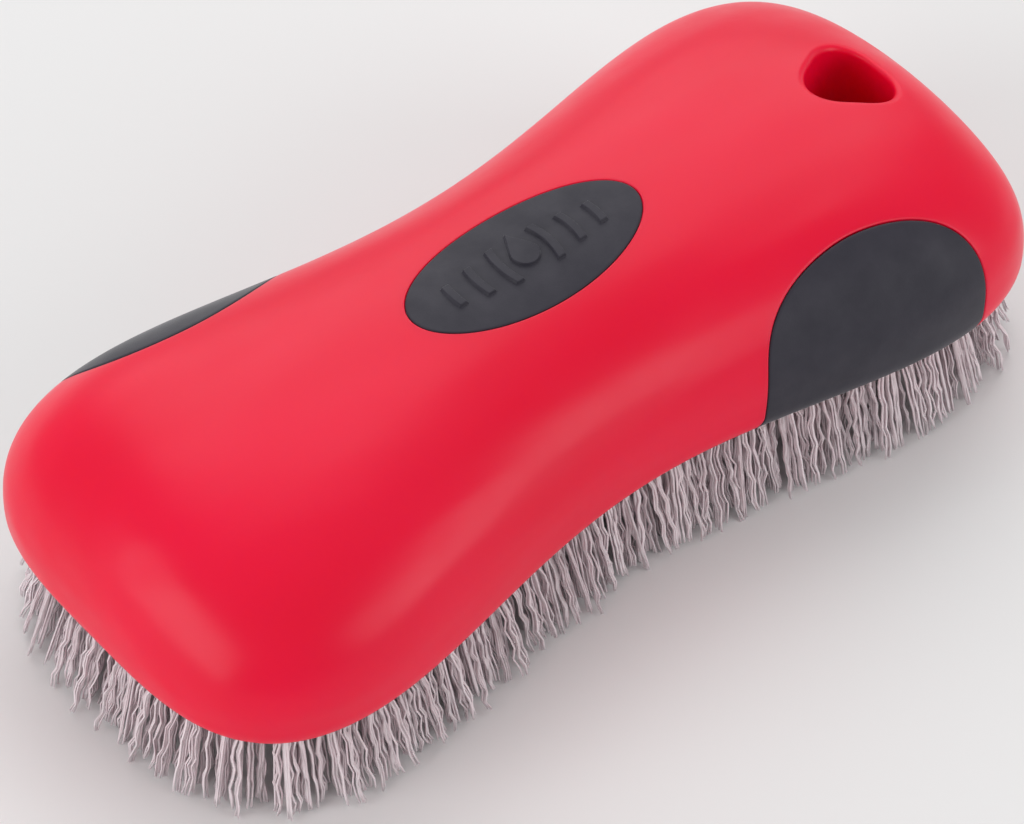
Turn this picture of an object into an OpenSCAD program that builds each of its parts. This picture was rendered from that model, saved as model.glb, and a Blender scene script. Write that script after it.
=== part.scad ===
// Palm-held scrub brush.
// A hollow domed shell with soft inlays is pressed over a block of staple-set bristle tufts.
// Z is up, and the brush stands on its bristle tips at Z = 0, centred on the Z axis.
// X runs along the brush, towards the hanging hole.

/* [Body] */
// Overall length of the shell
body_len = 180; // [160:1:200]
// Width across the waist
waist_w = 64; // [60:1:72]
// Extra width that the sides head for on their way out from the waist
flare_w = 40.6; // [34:0.2:46]
// Distance over which the sides open out
flare_len = 48.5; // [44:0.5:54]
// Height of the dome over the widest line, at the middle
crown_h = 27.3; // [24:0.1:32]
// Extra height of the dome over the lobes
crown_rise = 2.3; // [0:0.1:4]
// Height of the widest line over the shell's lower edge
edge_h = 3.6; // [3:0.1:5]
// How far the rounded lower edge tucks in under the widest line
edge_tuck = 2.8; // [2:0.1:3]
// Thickness of the shell's wall
wall = 3.5; // [3.4:0.1:3.8]

/* [Inlays] */
// Thickness of the soft inlays
inlay_t = 1.2; // [1:0.1:1.4]
// Length of the oval badge
badge_len = 47; // [40:0.5:52]
// Width of the oval badge
badge_w = 22; // [16:0.5:26]
// Length of a grip pad
pad_len = 43.7; // [36:0.1:50]
// Distance of a grip pad's middle from the middle of the brush
pad_x = 45.2; // [42:0.1:50]
// Height of a grip pad's arch over the shell's lower edge
pad_h = 24.8; // [20:0.1:26]
// How far the top of the arch leans towards the nearer tip of the brush
pad_lean = 2; // [0:0.1:3]

/* [Hanging hole] */
// Distance of the hanging hole from the middle of the brush
hang_x = 71; // [69:0.1:72]
// Mean radius of the hole's throat
hang_r = 7.5; // [5:0.1:7.6]
// Radius of the rounded lip round the hole
lip_r = 1.4; // [1:0.1:3]

/* [Brush] */
// Length of the bristles below the shell's lower edge
bristle_len = 20; // [14:0.5:30]
// Distance from tuft to tuft along a row
pitch = 7; // [6.8:0.1:9]
// Radius of a tuft where it is folded into its hole
tuft_r = 2; // [1.6:0.1:2]
// Radius of a tuft at its tip
tip_r = 2.8; // [2:0.1:2.8]
// Outward lean of the tufts along the edge, in degrees
edge_lean = 12; // [0:1:14]

/* [Hidden] */
// Roundness of the plan outline, of the dome's side view and of its cross-section: each is a curve
// (distance along)^first + (distance up)^second = 1
PLAN = [4.2, 3.45];
SIDE_VIEW = [4.7, 2.4];
CROSS = [1.93, 2.7];
// Power of the dome's rise towards the lobes
RISE_POWER = 4;
// Stations along the form and points across half of it, in the outer and in the hidden surfaces
FINE = [24, 12];
COARSE = [14, 8];
// Crowding of the stations towards the steep ends, and of the points towards the steep sides
END_CROWD = 3.5;
SIDE_CROWD = 2.7;
// Last station, just short of the tip, where the outline closes
LAST = 0.995;
// Steps down the rounded lower edge and round the lip of the hole
EDGE_STEPS = 4;
LIP_STEP = 15;

// Gap round an inlay in its pocket, and the red margin left under a grip pad
seam = 0.1;
pad_margin = 0.6;
// Roundness of the grip pad's arch, and the distance from the middle plane at which its cutter starts
PAD_ARCH = [1.88, 6.1];
pad_start = 12;

// Depth of the three-cornered shape of the hanging hole, and its tube's wall
HANG_CORNERS = 0.1;
hang_wall = 2.2;

// Tuft block: gap to the shell, thickness, recess behind the shell's lower edge
block_gap = 1;
block_t = 8;
block_recess = 1.2;
block_inset = wall + block_gap;
block_z = bristle_len + block_recess;

// Tuft holes, and the flat wire anchors at their blind ends
hole_r = tuft_r + 0.1;
hole_depth = 6.5;
land = 1.2;
edge_inset = block_inset + hole_r + land;
wire_t = 0.5;
wire_h = 1.6;
wire_len = 2 * tuft_r - 0.2;
fit = 0.05;

// Inner rows on each side of the middle one, and the share of the half width that they take up
SIDE_ROWS = 4;
ROW_SHARE = 0.77;
ROWS = 2 * SIDE_ROWS + 1;
QUADRANTS = 4;
// Least distance from an inner tuft to one along the edge
edge_clear = 5.4;

// Stiffening ribs across the shell, their thickness, and the width of a cutter that runs past everything
RIBS = [-66, -44, -22, 0, 22, 44];
rib_t = 1.8;
far = 120;

$fn = 32;

// ---- The form: its outline and its dome, each inset by d ----

// Height of the curve s^a + h^b = 1 over the distance s from its middle
function arch(s, powers) = pow(max(0, 1 - pow(min(1, s), powers[0])), 1 / powers[1]);

// Half the distance between the sides at x, before the ends round them off
function sides(x) = (waist_w + flare_w * (1 - exp(-x * x / (2 * flare_len * flare_len)))) / 2;

// How far along the half length x lies, from 0 in the middle to 1 at the tip
function along(x, d) = abs(x) / (body_len / 2 - d);

// Half width of the outline at x
function half_w(x, d) = (sides(x) - d) * arch(along(x, d), PLAN);

// Height of the dome's ridge over the widest line at x
function ridge(x, d) = let (s = along(x, d))
    (crown_h + crown_rise * pow(s, RISE_POWER) - d) * arch(s, SIDE_VIEW);

// Height of the outer surface over the shell's lower edge
function dome_z(x, y, d = 0) = edge_h + ridge(x, d) * arch(abs(y) / half_w(x, d), CROSS);

// Steps from -1 to 1 that crowd towards both ends
function crowded(n, crowd) = [
    for (i = [-n:n]) let (s = min(LAST, abs(i) / n)) sign(i) * (1 - pow(1 - s, 1 + (crowd - 1) * s))
];

// A point on the lower edge, k of the way down from the widest line to the height low
function edge_point(x, y, k, tuck, low) =
    let (keep = 1 - tuck * (1 - sqrt(1 - k * k)) / norm([x, y]))
    [x * keep, y * keep, edge_h + (low - edge_h) * k];

// The cross-section at x as a closed ring: over the dome, then down and back under it
function section(x, d, tuck, low, n) = let (w = half_w(x, d)) concat(
    [for (t = crowded(n, SIDE_CROWD)) [x, t * w, dome_z(x, t * w, d)]],
    [for (k = [0:EDGE_STEPS]) edge_point(x, w, k / EDGE_STEPS, tuck, low)],
    [for (k = [EDGE_STEPS:-1:0]) edge_point(x, -w, k / EDGE_STEPS, tuck, low)]
);

// The plan outline, anticlockwise from the tip at the hanging hole
function outline(d, n) = let (
    xs = [for (s = crowded(n, END_CROWD)) s * (body_len / 2 - d)]
) concat(
    [for (i = [len(xs) - 1:-1:0]) [xs[i], half_w(xs[i], d)]],
    [for (x = xs) [x, -half_w(x, d)]]
);

// Middle of a ring of points
function sum(list) = list * [for (v = list) 1];
function middle(ring) = [for (axis = [0:2]) sum([for (p = ring) p[axis]]) / len(ring)];

// Closed solid through a list of rings with the same number of points
module skin(rings) {
    n = len(rings[0]);
    last = len(rings) - 1;
    points = concat([for (ring = rings) each ring], [middle(rings[0]), middle(rings[last])]);
    walls = [
        for (i = [0:last - 1], j = [0:n - 1]) let (k = (j + 1) % n)
            each [[i * n + j, i * n + k, (i + 1) * n + k], [i * n + j, (i + 1) * n + k, (i + 1) * n + j]]
    ];
    first_cap = [for (j = [0:n - 1]) [len(points) - 2, (j + 1) % n, j]];
    last_cap = [for (j = [0:n - 1]) [len(points) - 1, last * n + j, last * n + (j + 1) % n]];
    polyhedron(points, concat(walls, first_cap, last_cap));
}

// The whole form, inset by d, with its lower edge tucked in and reaching down to the height low
module form(d = 0, tuck = edge_tuck, low = 0, detail = FINE)
    skin([
        for (s = crowded(detail[0], END_CROWD)) section(s * (body_len / 2 - d), d, tuck, low, detail[1])
    ]);

// ---- Hanging hole ----

// Three-cornered rounded outline, grown from the throat, with its flat side towards the tip
function hang_outline(grow) = [
    for (t = [0:9:351]) let (r = (hang_r + grow) * (1 - HANG_CORNERS * cos(3 * t)))
        [hang_x + r * cos(t), r * sin(t)]
];

// That outline laid on the dome, sunk by depth
function lip_ring(grow, depth) = [for (p = hang_outline(grow)) [p[0], p[1], dome_z(p[0], p[1]) - depth]];

// Everything that the hole takes away: a rounded lip that follows the dome, and the straight throat
module hang_cutter()
    skin(concat(
        [lip_ring(lip_r, -lip_r)],
        [for (a = [0:LIP_STEP:90]) lip_ring(lip_r * (1 - sin(a)), lip_r * (1 - cos(a)))],
        [[for (p = hang_outline(0)) [p[0], p[1], -lip_r]]]
    ));

// Tube round the throat, down to the tuft block's lower face
module hang_tube(grow = 0)
    translate([0, 0, block_recess])
        linear_extrude(far) polygon(hang_outline(hang_wall + grow));

// ---- Inlays ----

// Upright oval column that cuts the badge out of the dome
module badge_column(grow = 0)
    translate([0, 0, crown_h / 2])
        linear_extrude(far)
            polygon([for (t = [0:6:354]) [(badge_len / 2 + grow) * cos(t), (badge_w / 2 + grow) * sin(t)]]);

// A grip pad's arch seen from the side, with its foot above the lower edge
module pad_arch(grow) {
    half = pad_len / 2 + grow;
    foot = pad_margin - grow;
    polygon([
        for (t = [0:4:180])
            let (run = sign(cos(t)) * pow(abs(cos(t)), 2 / PAD_ARCH[0]), up = pow(sin(t), 2 / PAD_ARCH[1]))
                [half * run + pad_lean * up, max(foot, (pad_h + grow) * up)]
    ]);
}

// Level column that cuts the grip pad out of the side at -Y
module pad_column(grow = 0)
    translate([pad_x, -pad_start, 0])
        rotate([90, 0, 0])
            linear_extrude(far) pad_arch(grow);

// An inlay: the skin of the form inside a column
module inlay()
    intersection() {
        difference() {
            form();
            form(inlay_t);
        }
        children();
    }

// The pocket for an inlay: the same column, down to just below the skin
module pocket()
    difference() {
        children();
        form(inlay_t + seam);
    }

// Joins a shape of many flat facets into one solid at its own size
module one_piece() resize([0, 0, 0]) children();

// Raises a part of the shell by the bristles' length
module on_bristles() translate([0, 0, bristle_len]) children();

// ---- Shell ----

// Ribs across the hollow and one along it, down to the tuft block's back
module ribs()
    translate([0, 0, block_recess + block_t + fit]) {
        for (x = RIBS)
            translate([x - rib_t / 2, -far / 2, 0]) cube([rib_t, far, far]);
        translate([RIBS[0], -rib_t / 2, 0]) cube([hang_x - RIBS[0], rib_t, far]);
    }

// The hollow inside the shell, less the ribs and the hanging hole's tube
module hollow()
    difference() {
        form(wall, tuck = 0, low = -1, detail = COARSE);
        ribs();
        hang_tube();
    }

module handle_shell()
    color("#dc1f3a")
        on_bristles() one_piece() difference() {
            form();
            hollow();
            hang_cutter();
            pocket() badge_column(seam);
            pocket() pad_column(seam);
            pocket() rotate(180) pad_column(seam);
        }

module badge_inlay()
    color("#3c3a44") on_bristles() one_piece() inlay() badge_column();

// The pad at -Y, beside the hanging hole, and the same pad turned half round
module grip_pad(turn)
    color("#3c3a44") on_bristles() one_piece() rotate(turn) inlay() pad_column();

// ---- Where the tufts stand: each is [x, y] ----

// Distance run along a closed outline up to each of its points
function runs(pts, i = 0, run = [0]) =
    i == len(pts) ? run
    : runs(pts, i + 1, concat(run, [run[i] + norm(pts[(i + 1) % len(pts)] - pts[i])]));

// Points at even distances along a closed outline, a whole number of them in each quadrant
function evenly(pts, step) = let (
    run = runs(pts),
    total = run[len(pts)],
    count = QUADRANTS * round(total / step / QUADRANTS),
    table = [for (a = [0:1]) [for (i = [0:len(pts)]) [run[i], pts[i % len(pts)][a]]]]
) [for (i = [0:count - 1]) let (s = (i + 0.5) * total / count) [lookup(s, table[0]), lookup(s, table[1])]];

edge_points = evenly(outline(edge_inset, FINE[0] * 2), pitch);
per_quadrant = len(edge_points) / QUADRANTS;

// Direction square to the edge, outwards, in degrees from X
function outwards(i) = let (
    n = len(edge_points),
    step = edge_points[(i + 1) % n] - edge_points[(i + n - 1) % n]
) atan2(-step[0], step[1]);

// Whether a tuft clears the tufts along the edge
function clears_edge(p) = min([for (q = edge_points) norm(p - q)]) > edge_clear;

// Whether a tuft clears the hanging hole's tube
function clears_hang(p) = let (v = p - [hang_x, 0], r = hang_r + hang_wall + hole_r + land / 2)
    norm(v) > r * (1 - HANG_CORNERS * cos(3 * atan2(v[1], v[0])));

// Whether a point lies inside the line of tufts along the edge
function inside_edge(p) = abs(p[0]) < body_len / 2 - edge_inset && abs(p[1]) < half_w(p[0], edge_inset);

// One inner row, which bows with the waist; every other row is staggered by half a pitch
function row_points(row) = let (
    j = row - 1 - SIDE_ROWS,
    reach = ceil(body_len / 2 / pitch),
    stagger = abs(j) % 2 / 2
) [
    for (i = [-reach:reach])
        let (x = (i + stagger) * pitch, p = [x, j * ROW_SHARE / SIDE_ROWS * (sides(x) - edge_inset)])
            if (inside_edge(p) && clears_edge(p) && clears_hang(p)) p
];

// ---- Tuft block ----

// Blind hole for one tuft
module tuft_hole() translate([0, 0, -fit]) cylinder(r = hole_r, h = hole_depth + fit);

module tuft_block()
    color("#2c2b30") translate([0, 0, block_z]) difference() {
        linear_extrude(block_t) polygon(outline(block_inset, FINE[0]));
        translate([0, 0, -1]) linear_extrude(block_t + 2) polygon(hang_outline(hang_wall + seam));
        for (p = edge_points) translate(p) tuft_hole();
        for (row = [1:ROWS], p = row_points(row)) translate(p) tuft_hole();
    }

// ---- Tufts and anchors ----

// One tuft: a root in its hole, notched over the anchor, and free bristles that widen and lean outwards
module tuft(lean = 0, turn = 0) {
    free_len = block_z / cos(lean) + 2 * tip_r;
    difference() {
        cylinder(r = tuft_r, h = hole_depth);
        translate([-tuft_r - 1, -wire_t / 2 - fit, hole_depth - wire_h - fit])
            cube([2 * tuft_r + 2, wire_t + 2 * fit, wire_h + 1]);
    }
    rotate([0, 180 - lean, turn])
        translate([0, 0, -1])
            cylinder(r1 = tuft_r - 0.3, r2 = tip_r, h = free_len);
}

// Bristles trimmed level with the ground
module trimmed()
    intersection() {
        children();
        translate([-body_len, -body_len, 0]) cube([2 * body_len, 2 * body_len, block_z + block_t]);
    }

module edge_tufts(quadrant)
    color("#a89da3") trimmed()
        for (i = [(quadrant - 1) * per_quadrant:quadrant * per_quadrant - 1])
            translate([edge_points[i][0], edge_points[i][1], block_z]) tuft(edge_lean, outwards(i));

module tuft_row(row)
    color("#a89da3") trimmed()
        for (p = row_points(row))
            translate([p[0], p[1], block_z]) tuft();

// Flat wire at the blind end of a hole
module anchor()
    translate([-wire_len / 2, -wire_t / 2, hole_depth - wire_h]) cube([wire_len, wire_t, wire_h]);

module edge_anchors(quadrant)
    color("#c9c9cc")
        for (i = [(quadrant - 1) * per_quadrant:quadrant * per_quadrant - 1])
            translate([edge_points[i][0], edge_points[i][1], block_z]) anchor();

module anchor_row(row)
    color("#c9c9cc")
        for (p = row_points(row))
            translate([p[0], p[1], block_z]) anchor();

handle_shell();
badge_inlay();
grip_pad(0);  // grip_pad_right
grip_pad(180);  // grip_pad_left
tuft_block();
for (i = [1:QUADRANTS]) {
    edge_tufts(i);
    edge_anchors(i);
}
for (i = [1:ROWS]) {
    tuft_row(i);
    anchor_row(i);
}
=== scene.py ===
"""The looks of a palm-held scrub brush: a red domed shell, soft black inlays and crimped grey bristles.

Every piece is a surface worked out from the brush's own formulas, in metres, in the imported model's frame:
X runs along the brush towards its hanging hole, Z is up, and the bristle tips stand on Z = 0.
"""

import logging
import math
from dataclasses import dataclass, field
from enum import Enum

import bmesh
import bpy
import numpy as np
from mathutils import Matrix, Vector

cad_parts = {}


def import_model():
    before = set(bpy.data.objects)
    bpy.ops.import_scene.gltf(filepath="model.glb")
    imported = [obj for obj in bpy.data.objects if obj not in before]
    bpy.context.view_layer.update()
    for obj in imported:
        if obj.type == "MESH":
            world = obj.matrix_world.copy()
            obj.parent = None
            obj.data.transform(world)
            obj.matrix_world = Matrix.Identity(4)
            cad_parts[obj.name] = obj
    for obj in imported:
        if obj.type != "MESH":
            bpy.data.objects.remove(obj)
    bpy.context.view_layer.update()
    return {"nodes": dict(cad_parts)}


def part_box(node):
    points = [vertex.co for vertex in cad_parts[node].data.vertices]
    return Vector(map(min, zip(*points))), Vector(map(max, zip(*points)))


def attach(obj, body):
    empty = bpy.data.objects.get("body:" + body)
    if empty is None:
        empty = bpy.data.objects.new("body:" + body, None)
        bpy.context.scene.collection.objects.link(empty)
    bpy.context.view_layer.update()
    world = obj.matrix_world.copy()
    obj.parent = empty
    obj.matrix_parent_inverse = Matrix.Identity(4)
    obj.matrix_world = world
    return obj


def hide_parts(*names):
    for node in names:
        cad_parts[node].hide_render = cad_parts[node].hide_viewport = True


LOG = logging.getLogger("brush")
MM = 0.001
Colour = tuple[float, float, float]
BODY = "root"


class Slot(Enum):
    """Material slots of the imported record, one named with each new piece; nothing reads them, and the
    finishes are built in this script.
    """

    SHELL = "shell_red"
    SOFT = "soft_black"
    BRISTLE = "bristle_grey"


class Side(Enum):
    """The two long sides of the brush, as the sign of Y."""

    RIGHT = -1
    LEFT = 1


# ---------------------------------------------------------------- meshes


@dataclass
class Skin:
    """Triangles collected for one piece before its points are merged.

    Fields:
        points: blocks of points, each an (n, 3) array.
        triangles: blocks of point numbers, each an (m, 3) array.
        count: how many points the blocks hold so far.
    """

    points: list[np.ndarray] = field(default_factory=list)
    triangles: list[np.ndarray] = field(default_factory=list)
    count: int = 0

    def add_grid(self, grid: np.ndarray, keep: np.ndarray | None = None) -> None:
        """Adds the cells of a grid of points, two triangles each.

        Args:
            grid: an (rows, columns, 3) array of points.
            keep: which of the (rows - 1, columns - 1) cells are made; all of them if None.
        """
        rows, columns = grid.shape[:2]
        number = np.arange(rows * columns).reshape(rows, columns) + self.count
        corners = np.stack([number[:-1, :-1], number[1:, :-1], number[1:, 1:], number[:-1, 1:]], -1)
        cells = corners.reshape(-1, 4) if keep is None else corners[keep]
        self.points.append(grid.reshape(-1, 3))
        self.triangles.append(np.concatenate([cells[:, [0, 1, 2]], cells[:, [0, 2, 3]]]))
        self.count += rows * columns

    def add_rings(self, rings: np.ndarray) -> None:
        """Adds closed rings of points, (rings, points round, 3), each joined to the next."""
        self.add_grid(np.concatenate([rings, rings[:, :1]], 1))

    def merged(self, tolerance: float = 1e-7) -> tuple[np.ndarray, np.ndarray]:
        """Merges points that coincide and drops the triangles that this flattens.

        Args:
            tolerance: distance under which two points are one, in metres.

        Returns:
            The points, (n, 3), and the triangles, (m, 3).
        """
        points = np.concatenate(self.points)
        _, first, number = np.unique(
            np.round(points / tolerance).astype(np.int64), axis=0, return_index=True, return_inverse=True
        )
        triangles = number.reshape(-1)[np.concatenate(self.triangles)]
        a, b, c = triangles.T
        return points[first], triangles[(a != b) & (b != c) & (a != c)]

    def build(self, name: str) -> bpy.types.Object:
        """Makes the piece, with its doubles merged and its faces turned outwards.

        Args:
            name: the piece's name.

        Returns:
            The object, linked to the scene.
        """
        points, triangles = self.merged()
        piece = make_piece(name, points, triangles)
        shell = bmesh.new()
        shell.from_mesh(piece.data)
        bmesh.ops.recalc_face_normals(shell, faces=shell.faces)
        shell.to_mesh(piece.data)
        shell.free()
        return piece


def make_piece(name: str, points: np.ndarray, triangles: np.ndarray) -> bpy.types.Object:
    """Makes a smooth-shaded object of triangles, at the origin.

    Args:
        name: the piece's name.
        points: an (n, 3) array, in metres.
        triangles: an (m, 3) array of point numbers.

    Returns:
        The object, linked to the scene.
    """
    mesh = bpy.data.meshes.new(name)
    mesh.vertices.add(len(points))
    mesh.vertices.foreach_set("co", np.ascontiguousarray(points, np.float32).ravel())
    mesh.loops.add(3 * len(triangles))
    mesh.loops.foreach_set("vertex_index", np.ascontiguousarray(triangles, np.int32).ravel())
    mesh.polygons.add(len(triangles))
    mesh.polygons.foreach_set("loop_start", np.arange(0, 3 * len(triangles), 3, dtype=np.int32))
    mesh.polygons.foreach_set("use_smooth", np.ones(len(triangles), bool))
    mesh.update(calc_edges=True)
    mesh.validate()
    piece = bpy.data.objects.new(name, mesh)
    bpy.context.scene.collection.objects.link(piece)
    return piece


def fit_out(piece: bpy.types.Object, slot: Slot, material: bpy.types.Material, *nodes: str) -> None:
    """Gives a new piece its material, its body and the CAD nodes that it stands for, and reports it.

    Args:
        piece: the new piece.
        slot: the record's slot that its finish belongs to; not used.
        material: its finish.
        nodes: names of the CAD nodes that it stands for.
    """
    piece.data.materials.clear()
    piece.data.materials.append(material)
    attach(piece, BODY)
    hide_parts(*nodes)
    LOG.info("%s: %d triangles, stands for %s", piece.name, len(piece.data.polygons), ", ".join(nodes))


# ---------------------------------------------------------------- the form


@dataclass(frozen=True)
class Curve:
    """A rounded arch: (distance along)^run + (distance up)^rise = 1.

    Fields:
        run, rise: the two powers; 2 and 2 make a quarter of a circle, and higher ones squarer shoulders.
    """

    run: float
    rise: float

    def height(self, s: np.ndarray) -> np.ndarray:
        """Height of the arch at the distance s from its middle, both from 0 to 1."""
        return np.maximum(0.0, 1 - np.clip(s, 0, 1) ** self.run) ** (1 / self.rise)

    def distance(self, h: np.ndarray) -> np.ndarray:
        """Distance from the middle at which the arch has the height h."""
        return np.maximum(0.0, 1 - np.clip(h, 0, 1) ** self.rise) ** (1 / self.run)


@dataclass(frozen=True)
class Crowding:
    """Steps that crowd towards 1, where a surface turns down steeply: 1 - (1 - s)^(1 + (power - 1) s).

    Fields:
        power: how strongly the steps crowd; 1 leaves them even.
        table: steps of the table from which an even step is read back.
    """

    power: float
    table: int = 8001

    def spread(self, s: np.ndarray) -> np.ndarray:
        """The crowded distance for even steps s from -1 to 1."""
        size = np.clip(np.abs(s), 0, 1)
        return np.sign(s) * (1 - (1 - size) ** (1 + (self.power - 1) * size))

    def even(self, distance: np.ndarray) -> np.ndarray:
        """The even step whose crowded distance is given, read off a fine table of the formula."""
        steps = np.linspace(0, 1, self.table)
        return np.sign(distance) * np.interp(np.abs(distance), self.spread(steps), steps)


@dataclass(frozen=True)
class DomeForm:
    """The domed dog-bone form that the shell, the inlays and the lines of tufts follow.

    A point of it has the parameters u, from -1 to 1 along the brush, and v across it: -1 to 1 over the
    dome, and on to -2 or 2 down the rounded lower edge on either side.

    Fields:
        half_len: half the overall length.
        floor: height of the shell's lower edge.
        crown: height of the dome over the widest line, at the middle.
        waist: width at the waist.
        flare: extra width that the sides head for on their way out.
        flare_len: distance over which the sides open out.
        rise: extra height of the dome over the lobes, growing with the fourth power of the distance.
        edge_h: height of the widest line over the lower edge.
        tuck: how far the lower edge tucks in under the widest line.
        plan, side_view, cross: the arches of the outline, of the ridge and of the cross-section.
        along, across: the crowding of stations towards the ends and of points towards the sides.
        step: step of the parameters from which the normals are worked out.
    """

    half_len: float
    floor: float
    crown: float
    waist: float = 64 * MM
    flare: float = 40.6 * MM
    flare_len: float = 48.5 * MM
    rise: float = 2.3 * MM
    edge_h: float = 3.6 * MM
    tuck: float = 2.8 * MM
    plan: Curve = Curve(4.2, 3.45)
    side_view: Curve = Curve(4.7, 2.4)
    cross: Curve = Curve(1.93, 2.7)
    along: Crowding = Crowding(3.5)
    across: Crowding = Crowding(2.7)
    step: float = 1e-4

    @classmethod
    def from_frame(cls) -> "DomeForm":
        """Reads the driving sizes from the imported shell's box."""
        low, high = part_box("handle_shell")
        return cls(half_len=high.x, floor=low.z, crown=high.z - low.z - cls.edge_h)

    def share(self, x: np.ndarray, inset: float = 0.0) -> np.ndarray:
        """How far along the half length x lies, from 0 to 1."""
        return np.clip(np.abs(x) / (self.half_len - inset), 0, 1)

    def sides(self, x: np.ndarray) -> np.ndarray:
        """Half the distance between the sides, before the ends round them off: a bell-shaped waist."""
        return (self.waist + self.flare * (1 - np.exp(-(x**2) / (2 * self.flare_len**2)))) / 2

    def half_width(self, x: np.ndarray, inset: float = 0.0) -> np.ndarray:
        """Half width of the outline: the sides times the plan arch."""
        return (self.sides(x) - inset) * self.plan.height(self.share(x, inset))

    def ridge(self, x: np.ndarray, inset: float = 0.0) -> np.ndarray:
        """Height of the ridge over the widest line: crown and rise times the side view's arch."""
        s = self.share(x, inset)
        return (self.crown + self.rise * s**4 - inset) * self.side_view.height(s)

    def dome_z(self, x: np.ndarray, y: np.ndarray, inset: float = 0.0) -> np.ndarray:
        """Height of the dome over (x, y): the ridge times the cross-section's arch."""
        width = np.maximum(self.half_width(x, inset), 1e-9)
        return self.floor + self.edge_h + self.ridge(x, inset) * self.cross.height(np.abs(y) / width)

    def point(self, uv: np.ndarray, inset: float = 0.0, tuck: float | None = None) -> np.ndarray:
        """Points of the form.

        Over the dome, x is the crowded u, y is the crowded v times the half width, and z is dome_z. Down
        the lower edge the outline point slides towards the middle by tuck (1 - cos a) and sinks by
        edge_h sin a, where a runs from 0 to a right angle.

        Args:
            uv: an (..., 2) array of parameters.
            inset: how far inside the outer form the surface lies.
            tuck: how far the lower edge tucks in; the form's own if None.

        Returns:
            An (..., 3) array of points.
        """
        u, v = uv[..., 0], uv[..., 1]
        x = (self.half_len - inset) * self.along.spread(u)
        y = self.half_width(x, inset) * self.across.spread(np.clip(v, -1, 1))
        z = self.dome_z(x, y, inset)
        a = (np.clip(np.abs(v), 1, 2) - 1) * math.pi / 2
        pull = (self.tuck if tuck is None else tuck) * (1 - np.cos(a))
        keep = 1 - pull / np.maximum(np.hypot(x, y), 1e-6)
        return np.stack([x * keep, y * keep, z - self.edge_h * np.sin(a)], -1)

    def normal(self, uv: np.ndarray) -> np.ndarray:
        """Unit normals of the outer form: the cross product of a small step along u and one along v.

        The steps keep clear of the tips and of the lower edge, where the form comes to an end.

        Args:
            uv: an (..., 2) array of parameters.

        Returns:
            An (..., 3) array of unit vectors.
        """
        safe = np.stack([np.clip(uv[..., 0], -0.99, 0.99), np.clip(uv[..., 1], -1.98, 1.98)], -1)
        du, dv = np.array([self.step, 0.0]), np.array([0.0, self.step])
        along_u = self.point(safe + du) - self.point(safe - du)
        along_v = self.point(safe + dv) - self.point(safe - dv)
        n = np.cross(along_u, along_v)
        return n / np.linalg.norm(n, axis=-1, keepdims=True)

    def sunk(self, uv: np.ndarray, depth: np.ndarray | float) -> np.ndarray:
        """Points under the outer surface, square to it, by depth."""
        return self.point(uv) - self.normal(uv) * np.asarray(depth)[..., None]

    def place(self, x: np.ndarray, y: np.ndarray, inset: float = 0.0) -> np.ndarray:
        """Parameters of the points of the dome over some places in plan.

        Args:
            x, y: the places.
            inset: how far inside the outer form the surface lies.

        Returns:
            An (..., 2) array of parameters.
        """
        u = self.along.even(x / (self.half_len - inset))
        v = self.across.even(y / self.half_width(x, inset))
        return np.stack([u, v], -1)

    def place_side(self, x: np.ndarray, z: np.ndarray, side: Side) -> np.ndarray:
        """Parameters of the points of one side, given as they are seen from that side.

        Over the widest line the cross-section's arch is solved for the distance across; under it the
        height gives the angle down the lower edge.

        Args:
            x: places along the brush.
            z: heights over the lower edge.
            side: which of the long sides.

        Returns:
            An (..., 2) array of parameters.
        """
        over = self.across.even(self.cross.distance((z - self.edge_h) / self.ridge(x)))
        under = 1 + np.arcsin(np.clip(1 - z / self.edge_h, 0, 1)) / (math.pi / 2)
        u = self.along.even(x / self.half_len)
        return np.stack([u, side.value * np.where(z > self.edge_h, over, under)], -1)


# ---------------------------------------------------------------- outlines of what is let into the dome


@dataclass(frozen=True)
class Oval:
    """The badge's outline: an ellipse in plan.

    Fields:
        form: the brush's form.
        length, width: the ellipse's two diameters.
    """

    form: DomeForm
    length: float = 47 * MM
    width: float = 22 * MM

    def centre(self) -> np.ndarray:
        """Parameters of the oval's middle."""
        return np.zeros(2)

    def angles(self, points: np.ndarray) -> np.ndarray:
        """The ellipse's angle for each of some points of the dome."""
        return np.arctan2(points[..., 1] / self.width, points[..., 0] / self.length)

    def ring(self, angles: np.ndarray, grow: float) -> np.ndarray:
        """Parameters of the outline.

        Args:
            angles: the ellipse's angles.
            grow: how far the outline is grown.

        Returns:
            An (..., 2) array of parameters.
        """
        x = (self.length / 2 + grow) * np.cos(angles)
        y = (self.width / 2 + grow) * np.sin(angles)
        return self.form.place(x, y)


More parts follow.
